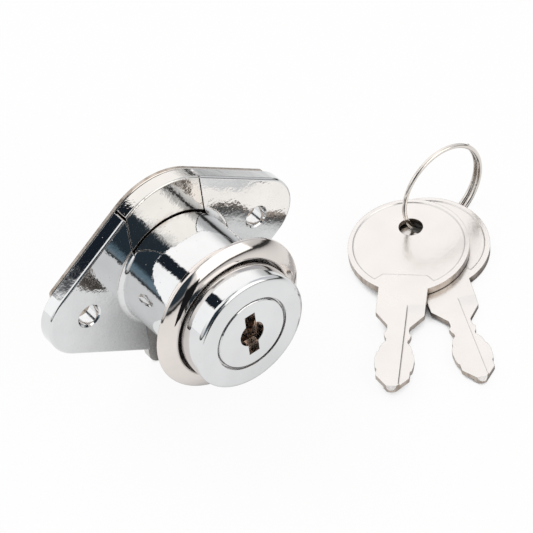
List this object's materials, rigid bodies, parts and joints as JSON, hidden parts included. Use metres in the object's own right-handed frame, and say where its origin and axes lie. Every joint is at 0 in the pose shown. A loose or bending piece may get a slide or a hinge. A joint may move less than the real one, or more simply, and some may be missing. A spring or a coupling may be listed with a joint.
{
  "type": "drawer lock",
  "caption": "Drawer lock with a round barrel on a rhombus flange, a key-driven sliding bolt, a loose trim ring and flat keys on a split ring.",
  "frame": {"origin": "on the barrel's axis, in the plane of the flange's front face, midway between the screw holes", "axes": "+Z is the way the bolt is thrown, -Y is the way the barrel points and the key comes out, +X runs along the flange to the ear beside the keys"},
  "size_m": [0.0916, 0.0468, 0.0414],
  "materials": {
    "chrome_casting": "bright chrome on a zinc die casting",
    "nickel_bolt": "warm polished nickel on a zinc die casting",
    "nickel_sheet": "warm polished nickel on pressed steel sheet",
    "nickel_key": "satin nickel on pressed brass",
    "nickel_wire": "nickel on round steel wire",
    "brass": "plain stamped brass, coppery",
    "steel": "plain steel"
  },
  "bodies": {
    "housing": {"housing": "chrome_casting", "back_plate": "nickel_sheet", "back_plate_rivets": "steel"},
    "plug": {"plug": "chrome_casting", "drive_pin": "steel", "retaining_clip": "steel", "wafer_spring_1": "steel", "wafer_spring_2": "steel", "wafer_spring_3": "steel", "wafer_spring_4": "steel", "wafer_spring_5": "steel", "wafer_spring_6": "steel"},
    "bolt": {"bolt": "nickel_bolt"},
    "trim_ring": {"trim_ring": "nickel_sheet"},
    "key_1": {"key_1": "nickel_key"},
    "key_2": {"key_2": "nickel_key"},
    "split_ring": {"split_ring": "nickel_wire"},
    "wafer_1": {"wafer_1": "brass"},
    "wafer_2": {"wafer_2": "brass"},
    "wafer_3": {"wafer_3": "brass"},
    "wafer_4": {"wafer_4": "brass"},
    "wafer_5": {"wafer_5": "brass"},
    "wafer_6": {"wafer_6": "brass"}
  },
  "joints": [
    {"name": "plug_turn", "type": "hinge", "parent": "housing", "child": "plug", "pos_m": [0, 0, 0], "axis": [0, 1, 0], "range_deg": [0, 180]},
    {"name": "bolt_slide", "type": "slide", "parent": "housing", "child": "bolt", "axis": [0, 0, 1], "range_m": [0, 0.007]},
    {"name": "trim_ring_slide", "type": "slide", "parent": "housing", "child": "trim_ring", "axis": [0, 1, 0], "range_m": [-0.005, 0.0122]},
    {"name": "key_1_lift", "type": "slide", "parent": "housing", "child": "key_1", "axis": [0, 0, 1], "range_m": [0, 0.04]},
    {"name": "key_2_swing", "type": "hinge", "parent": "key_1", "child": "key_2", "pos_m": [0.05093, -0.00558, -0.0202], "axis": [0, 0, 1], "range_deg": [-20, 4]},
    {"name": "split_ring_turn", "type": "hinge", "parent": "key_1", "child": "split_ring", "pos_m": [0.0562, -0.00547, -0.01345], "axis": [0, 1, 0], "continuous": true},
    {"name": "wafer_1_slide", "type": "slide", "parent": "plug", "child": "wafer_1", "axis": [0, 0, 1], "range_m": [0, 0.0007], "deforming": ["wafer_spring_1"]},
    {"name": "wafer_2_slide", "type": "slide", "parent": "plug", "child": "wafer_2", "axis": [0, 0, -1], "range_m": [0, 0.0007], "deforming": ["wafer_spring_2"]},
    {"name": "wafer_3_slide", "type": "slide", "parent": "plug", "child": "wafer_3", "axis": [0, 0, 1], "range_m": [0, 0.0007], "deforming": ["wafer_spring_3"]},
    {"name": "wafer_4_slide", "type": "slide", "parent": "plug", "child": "wafer_4", "axis": [0, 0, -1], "range_m": [0, 0.0007], "deforming": ["wafer_spring_4"]},
    {"name": "wafer_5_slide", "type": "slide", "parent": "plug", "child": "wafer_5", "axis": [0, 0, 1], "range_m": [0, 0.0007], "deforming": ["wafer_spring_5"]},
    {"name": "wafer_6_slide", "type": "slide", "parent": "plug", "child": "wafer_6", "axis": [0, 0, -1], "range_m": [0, 0.0007], "deforming": ["wafer_spring_6"]}
  ],
  "couplings": [
    {"joint": "bolt_slide", "follows": "plug_turn", "m_per_rad": 0.002228}
  ]
}
